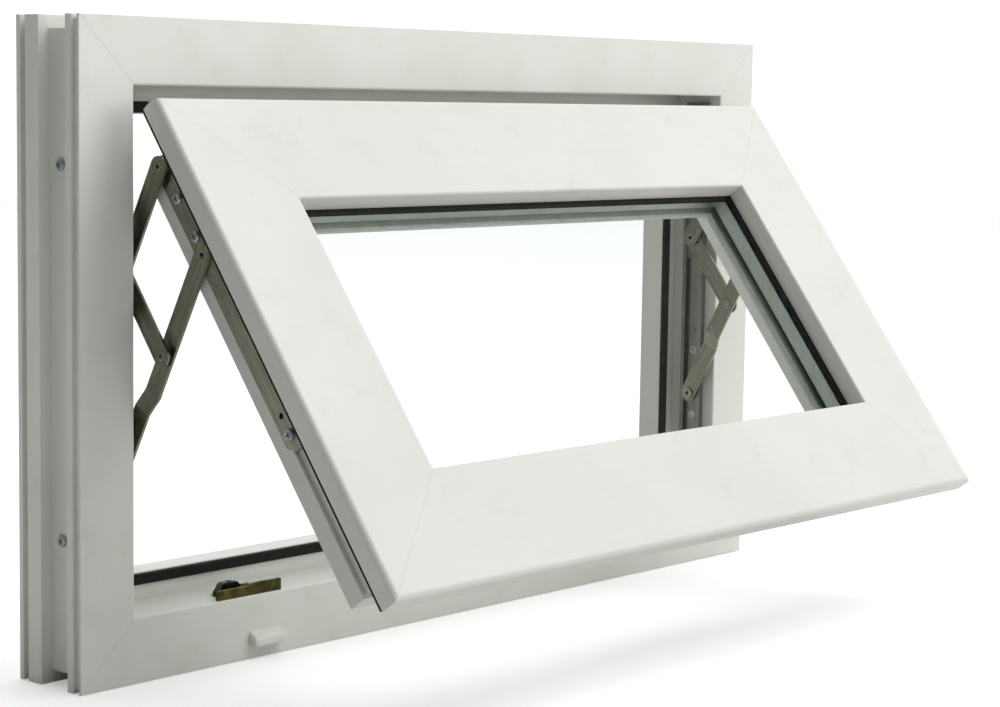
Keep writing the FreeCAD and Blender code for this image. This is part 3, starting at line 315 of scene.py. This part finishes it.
def clear_glass(name):
    """A clear pane: see-through, reflecting more towards glancing, with faint water marks."""
    finish = Finish(name, Roughness=0.02, IOR=1.5)
    finish.surface.inputs["Base Color"].default_value = (0.30, 0.36, 0.33, 1.0)
    marks = finish.noise((50.0 * MM,) * 3, detail=5.0, rough=0.65)
    facing = finish.node("ShaderNodeLayerWeight", {}, {"Blend": 0.5}, output=1)
    finish.feed(Roughness=marks.spread(0.45, 0.8, 0.01, 0.06))
    through = finish.tree.nodes.new("ShaderNodeBsdfTransparent")
    through.inputs["Color"].default_value = (0.994, 1.0, 0.997, 1.0)
    mix = finish.tree.nodes.new("ShaderNodeMixShader")
    film = 0.004 + facing ** 5.0 * 0.22 + marks.spread(0.6, 0.85, 0.0, 0.010)
    finish.tree.links.new(film.socket, mix.inputs[0])
    finish.tree.links.new(through.outputs[0], mix.inputs[1])
    finish.tree.links.new(finish.surface.outputs[0], mix.inputs[2])
    output = finish.tree.nodes["Material Output"]
    finish.tree.links.new(mix.outputs[0], output.inputs["Surface"])
    return finish


frame_weld_reach = 62.0 * MM
sash_weld_reach = 79.2 * MM
frame_white = white_plastic("frame white PVC", frame_coordinates, (0.790, 0.795, 0.755),
                            (0.740, 0.750, 0.705), frame_weld_reach, 0.25)
# The sash's white is darker than the frame's white on the same PVC: painted shade in its colour.
sash_white_painted_shade = white_plastic("sash white PVC with painted shade", sash_coordinates, (0.700, 0.700, 0.668),
                           (0.665, 0.668, 0.634), sash_weld_reach, 0.30)
cap_white = moulded("drain cap plastic", (0.80, 0.80, 0.76), (0.72, 0.72, 0.67), 0.42)
handle_white = moulded("handle enamel", (0.82, 0.82, 0.80), (0.76, 0.76, 0.73), 0.24)
grey_plastic = moulded("grey moulded plastic", (0.20, 0.20, 0.19), (0.14, 0.14, 0.135), 0.5)
seal_black = rubber("black seal rubber", (0.0035, 0.0040, 0.0038), 0.50)
# The inner gasket's grey is lightened: painted light where the gasket lies in shade in the glass rebate.
inner_rubber_painted_light = moulded("inner gasket rubber with painted light", (0.60, 0.64, 0.60), (0.48, 0.52, 0.48), 0.6)
sealant = rubber("dark edge sealant", (0.016, 0.016, 0.017), 0.6)
# Stainless tones for the stays: the steel's own grey, darkened and warmed by painted reflection of dark,
# warm surroundings.
stainless_tone_and_painted_reflection = (0.40, 0.39, 0.31)
stainless_dull_and_painted_reflection = (0.17, 0.165, 0.125)
long_arm_steel = brushed_steel("long arm stainless", -long_arm_lean, stainless_tone_and_painted_reflection, stainless_dull_and_painted_reflection, 0.30)
strut_steel = brushed_steel("strut stainless", sash_angle, stainless_tone_and_painted_reflection, stainless_dull_and_painted_reflection, 0.30)
sash_arm_steel = brushed_steel("sash arm stainless", sash_angle, stainless_tone_and_painted_reflection, stainless_dull_and_painted_reflection, 0.28)
# The track's stainless is a darker copy of the stays' steel: the same painted reflection, with painted shade
# added.
track_steel = brushed_steel("track stainless", 0.0, (0.36, 0.35, 0.32), (0.20, 0.19, 0.17), 0.34)
rivet_steel = plated("rivet stainless", (0.42, 0.40, 0.36), (0.24, 0.225, 0.20), 0.28, 8.0 * MM)
zinc = plated("screw zinc", (0.50, 0.55, 0.60), (0.30, 0.34, 0.37), 0.24, 6.0 * MM)
galvanised = plated("galvanised steel", (0.44, 0.46, 0.47), (0.30, 0.32, 0.33), 0.38, 12.0 * MM)
bronze = plated("bronzed brass", (0.125, 0.104, 0.030), (0.058, 0.050, 0.018), 0.46, 10.0 * MM)
# The catch's darker copy of the keep's bronze is painted shade.
bronze_painted_shade = plated("bronzed catch with painted shade", (0.055, 0.050, 0.036), (0.020, 0.020, 0.016), 0.34, 6.0 * MM)
spacer_metal = brushed_steel("spacer aluminium", 0.0, (0.60, 0.66, 0.61), (0.44, 0.49, 0.45), 0.42)
glass = clear_glass("clear glass")

paint(frame_white, "frame_sill", "frame_head", "frame_left_jamb", "frame_right_jamb")
paint(sash_white_painted_shade, "sash_bottom_rail", "sash_top_rail", "sash_left_stile", "sash_right_stile",
      "glazing_bead_bottom", "glazing_bead_top", "glazing_bead_left", "glazing_bead_right")
paint(cap_white, "drain_cap")
paint(handle_white, "handle_lever", "handle_base")
paint(grey_plastic, "left_stay_end_cap", "right_stay_end_cap", "glazing_packers",
      "left_friction_shoe", "right_friction_shoe")
paint(seal_black, "frame_seal", "flange_seal", "outer_glazing_gasket")
paint(inner_rubber_painted_light, "inner_glazing_gasket")
paint(sealant, "edge_sealant")
paint(long_arm_steel, "left_long_arm", "right_long_arm", "left_top_arm", "right_top_arm")
paint(strut_steel, "left_strut", "right_strut")
paint(sash_arm_steel, "left_sash_arm", "right_sash_arm")
paint(track_steel, "left_stay_track", "right_stay_track")
paint(rivet_steel, "left_fixed_pivot_rivet", "right_fixed_pivot_rivet", "left_middle_pivot_rivet",
      "right_middle_pivot_rivet", "left_shoe_rivet", "right_shoe_rivet", "sash_arm_rivets")
paint(zinc, "jamb_screws", "track_screws", "keep_screws", "sash_arm_screws", "handle_screws",
      "lock_faceplate_screws")
paint(galvanised, "frame_reinforcement", "sash_reinforcement", "lock_faceplate", "lock_bar",
      "lock_gearbox", "handle_spindle", "lock_pinion")
paint(bronze, "left_keep", "right_keep")
paint(spacer_metal, "spacer_bar")
paint(glass, "outer_pane", "inner_pane")

# ------------------------------------------------------------------ keeps on the sill
def pick(*pieces):
    """Select these pieces and nothing else. The first one is made active."""
    bpy.ops.object.select_all(action="DESELECT")
    for piece in pieces:
        piece.select_set(True)
    bpy.context.view_layer.objects.active = pieces[0]


def block(name, low, high, cuts):
    """A box between two corners, divided so that it can be shaped."""
    bpy.ops.object.select_all(action="DESELECT")
    centre = [0.5 * (a + b) for a, b in zip(low, high)]
    size = [b - a for a, b in zip(low, high)]
    bpy.ops.mesh.primitive_cube_add(size=1.0, location=centre, scale=size)
    piece = bpy.context.object
    piece.name = name
    bpy.ops.object.transform_apply(location=True, rotation=True, scale=True)
    bpy.ops.object.mode_set(mode="EDIT")
    bpy.ops.mesh.select_all(action="SELECT")
    bpy.ops.mesh.subdivide(number_cuts=cuts)
    bpy.ops.object.mode_set(mode="OBJECT")
    return piece


def rise(piece, bottom, height_at):
    """Scale each point's height above the bottom by what height_at gives for its place along X."""
    for point in piece.data.vertices:
        point.co.z = bottom + (point.co.z - bottom) * height_at(point.co.x)


def soften(piece, width):
    """Round the piece's sharp edges and smooth its shading."""
    bevel = piece.modifiers.new("edges", "BEVEL")
    bevel.width = width
    bevel.segments = 3
    bevel.limit_method = "ANGLE"
    bevel.angle_limit = radians(40.0)
    pick(piece)
    bpy.ops.object.modifier_apply(modifier=bevel.name)
    bpy.ops.object.shade_smooth_by_angle(angle=radians(35.0))


def moved_copy(piece, name, shift):
    """A copy of a piece with its own mesh, shifted by a vector."""
    pick(piece)
    bpy.ops.object.duplicate(linked=False)
    copy = bpy.context.object
    copy.name = name
    copy.location = shift
    bpy.ops.object.transform_apply(location=True, rotation=False, scale=False)
    return copy


def ease(value):
    """A smooth step from 0 to 1."""
    inside = min(1.0, max(0.0, value))
    return inside * inside * (3.0 - 2.0 * inside)


keep_low, keep_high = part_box("left_keep")
keep_left, keep_front, keep_floor = keep_low
keep_right, keep_back = keep_high[0], keep_high[1]
wall_depth, wall_height = 2.6 * MM, 6.6 * MM
base_start, base_end = 21.0 * MM, 6.0 * MM
base_set_back, base_height = 1.5 * MM, 2.5 * MM
catch_start, catch_end = keep_left + 8.0 * MM, keep_left + 31.0 * MM
catch_set_back, catch_depth, catch_height = 9.0 * MM, 6.0 * MM, 9.2 * MM


def swollen_wall():
    """The keep's long front wall: it dips at its left end and swells at its right."""
    swell, swell_start, swell_length = 0.22, 0.44, 0.14
    dip, dip_length = 0.10, 0.06
    wall = block("left_keep_wall", keep_low,
                 (keep_right, keep_front + wall_depth, keep_floor + wall_height), 19)

    def height_at(x):
        along = (x - keep_left) / (keep_right - keep_left)
        swollen = swell * ease((along - swell_start) / swell_length)
        return 1.0 + swollen - dip * ease((dip_length - along) / dip_length)

    rise(wall, keep_floor, height_at)
    soften(wall, 0.6 * MM)
    return wall


def flat_base():
    """The plate behind the wall that takes the outer screw."""
    base = block("left_keep_base", (keep_left + base_start, keep_front + base_set_back, keep_floor),
                 (keep_right - base_end, keep_back, keep_floor + base_height), 5)
    soften(base, 0.4 * MM)
    return base


def humped_catch():
    """The block that the lock's cam passes behind: a low hump that takes the inner screw."""
    ends_height, front_rise, back_fall = 0.35, 0.22, 0.30
    front = keep_front + catch_set_back
    catch = block("left_keep_catch", (catch_start, front, keep_floor),
                  (catch_end, front + catch_depth, keep_floor + catch_height), 11)

    def height_at(x):
        along = (x - catch_start) / (catch_end - catch_start)
        return ends_height + (1.0 - ends_height) * ease(along / front_rise) * ease((1.0 - along) / back_fall)

    rise(catch, keep_floor, height_at)
    soften(catch, 0.8 * MM)
    return catch


def screw_head(place):
    """A domed screw head with a dished recess, facing up."""
    radius, height, sunk = 2.5 * MM, 1.6 * MM, 0.5 * MM
    dome_inset, dome_height = 1.0 * MM, 0.35 * MM
    recess_inset, recess_depth = 0.55 * MM, 0.9 * MM
    bpy.ops.object.select_all(action="DESELECT")
    middle = (place[0], place[1], place[2] + sunk)
    bpy.ops.mesh.primitive_cylinder_add(vertices=32, radius=radius, depth=height, location=middle)
    head = bpy.context.object
    bpy.ops.object.transform_apply(location=True, rotation=True, scale=True)
    bpy.ops.object.mode_set(mode="EDIT")
    bpy.ops.mesh.select_all(action="DESELECT")
    bpy.ops.object.mode_set(mode="OBJECT")
    for face in head.data.polygons:
        face.select = face.normal.z > 0.9
    bpy.ops.object.mode_set(mode="EDIT")
    bpy.ops.mesh.select_mode(type="FACE")
    bpy.ops.mesh.inset(thickness=dome_inset)
    bpy.ops.transform.translate(value=(0.0, 0.0, dome_height))
    bpy.ops.mesh.inset(thickness=recess_inset)
    bpy.ops.mesh.extrude_region_move(TRANSFORM_OT_translate={"value": (0.0, 0.0, -recess_depth)})
    bpy.ops.object.mode_set(mode="OBJECT")
    soften(head, 0.15 * MM)
    return head


catch_screw = Vector((catch_start + 0.58 * (catch_end - catch_start), keep_front + 12.0 * MM,
                      keep_floor + catch_height))
base_screw = Vector((keep_right - 13.0 * MM, keep_front + 19.0 * MM, keep_floor + base_height))
to_right_keep = Vector((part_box("right_keep")[0][0] - keep_left, 0.0, 0.0))

left_parts = {"wall": swollen_wall(), "base": flat_base(), "catch": humped_catch()}
for part, piece in left_parts.items():
    # The catch takes the darker copy of the bronze: painted shade.
    finish = bronze_painted_shade if part == "catch" else bronze
    piece.data.materials.append(finish.material)
right_parts = {part: moved_copy(piece, "right_keep_" + part, to_right_keep)
               for part, piece in left_parts.items()}
for node, parts in (("left_keep", left_parts), ("right_keep", right_parts)):
    for piece in parts.values():
        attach(piece, "frame")
    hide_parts(node)

keep_heads = screw_head(catch_screw)
shifts = (base_screw - catch_screw, to_right_keep, base_screw - catch_screw + to_right_keep)
pick(keep_heads, *[moved_copy(keep_heads, "keep_screw_copy", shift) for shift in shifts])
bpy.ops.object.join()
keep_heads.name = "keep_screw_heads"
keep_heads.data.materials.append(zinc.material)
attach(keep_heads, "frame")
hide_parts("keep_screws")

# ------------------------------------------------------------------ floor, light and camera
def plain_finish(name, colour, roughness):
    """One even colour, for the set."""
    finish = Finish(name, Roughness=roughness)
    finish.surface.inputs["Base Color"].default_value = (*colour, 1.0)
    return finish


def flat_sheet(name, size, location, rotation, finish):
    """A large plane of the set."""
    bpy.ops.object.select_all(action="DESELECT")
    bpy.ops.mesh.primitive_plane_add(size=size, location=location, rotation=rotation)
    sheet = bpy.context.object
    sheet.name = name
    sheet.data.materials.append(finish.material)
    return sheet


floor_size, floor_gap = 12.0, 0.5 * MM
floor_colour, floor_colour_seen, floor_glow = (0.72, 0.72, 0.71), (0.80, 0.80, 0.80), 0.36
studio_white = plain_finish("studio white", floor_colour, 0.9)
camera_sees = studio_white.node("ShaderNodeLightPath", {}, {})
studio_white.surface.inputs["Emission Strength"].default_value = floor_glow
studio_white.feed(Base_Color=studio_white.blend(camera_sees, floor_colour, floor_colour_seen),
                  Emission_Color=studio_white.blend(camera_sees, (0.0, 0.0, 0.0), (1.0, 1.0, 1.0)))
flat_sheet("floor", floor_size, (0.0, 0.0, frame_low[2] - floor_gap), (0.0, 0.0, 0.0), studio_white)

# The sky is brighter towards one side, and even and white where the camera sees it.
brightest_way = (0.80, 0.52, 0.28)
dim_below, bright_above = -0.55, 0.65
dim_light, bright_light, seen_light = 0.10, 1.16, 1.12
world = bpy.data.worlds.new("studio")
bpy.context.scene.world = world
world.use_nodes = True
sky = world.node_tree
background = sky.nodes["Background"]
background.inputs["Color"].default_value = (0.985, 1.0, 0.99, 1.0)
towards = sky.nodes.new("ShaderNodeTexCoord")
bright_side = sky.nodes.new("ShaderNodeVectorMath")
bright_side.operation = "DOT_PRODUCT"
bright_side.inputs[1].default_value = brightest_way
sky.links.new(towards.outputs["Generated"], bright_side.inputs[0])
fade = sky.nodes.new("ShaderNodeMapRange")
fade.interpolation_type = "SMOOTHSTEP"
fade_range = {"From Min": dim_below, "From Max": bright_above, "To Min": dim_light, "To Max": bright_light}
for key, value in fade_range.items():
    fade.inputs[key].default_value = value
sky.links.new(bright_side.outputs["Value"], fade.inputs["Value"])
seen = sky.nodes.new("ShaderNodeLightPath")
backdrop = sky.nodes.new("ShaderNodeMix")
backdrop.inputs[3].default_value = seen_light
sky.links.new(seen.outputs["Is Camera Ray"], backdrop.inputs[0])
sky.links.new(fade.outputs["Result"], backdrop.inputs[2])
sky.links.new(backdrop.outputs[0], background.inputs["Strength"])


def soft_light(name, place, target, size, power, colour):
    """A square soft box aimed at a point."""
    light = bpy.data.lights.new(name, "AREA")
    light.size = size
    light.energy = power
    light.color = colour
    holder = bpy.data.objects.new(name, light)
    bpy.context.scene.collection.objects.link(holder)
    holder.location = place
    aim = Vector(target) - Vector(place)
    holder.rotation_euler = aim.to_track_quat("-Z", "Y").to_euler()


dark_card = plain_finish("dark card", (0.03, 0.034, 0.03), 0.9)
card = flat_sheet("left dark card", 3.4, (-2.3, 0.6, 1.2), (0.0, radians(90.0), 0.0), dark_card)
card.visible_camera = False
card.visible_shadow = False

soft_light("top light", (0.5, -1.0, 3.0), (0.2, -0.1, 0.2), 2.6, 47.0, (1.0, 0.995, 0.975))
soft_light("front light", (1.1, -2.4, 1.2), (0.0, 0.0, 0.22), 1.6, 20.0, (1.0, 0.985, 0.965))

lens, sensor_width = 84.372, 36.0
yaw, pitch, roll = radians(48.011), radians(6.196), radians(0.9)
camera_place = Vector((-1259.6, -1170.56, 381.45)) * MM
camera_data = bpy.data.cameras.new("camera")
camera_data.lens = lens
camera_data.sensor_width = sensor_width
camera_data.sensor_fit = "HORIZONTAL"
camera = bpy.data.objects.new("camera", camera_data)
bpy.context.scene.collection.objects.link(camera)
bpy.context.scene.camera = camera
level = Vector((sin(yaw), cos(yaw), 0.0))
aside = Vector((cos(yaw), -sin(yaw), 0.0))
ahead = level * cos(pitch) - Vector((0.0, 0.0, sin(pitch)))
above = level * sin(pitch) + Vector((0.0, 0.0, cos(pitch)))
across_view = aside * cos(roll) + above * sin(roll)
up_view = above * cos(roll) - aside * sin(roll)
turn = Matrix((across_view, up_view, -ahead)).transposed()
camera.matrix_world = Matrix.Translation(camera_place) @ turn.to_4x4()
camera_data.clip_start = 0.05
bpy.context.scene.view_settings.view_transform = "Standard"
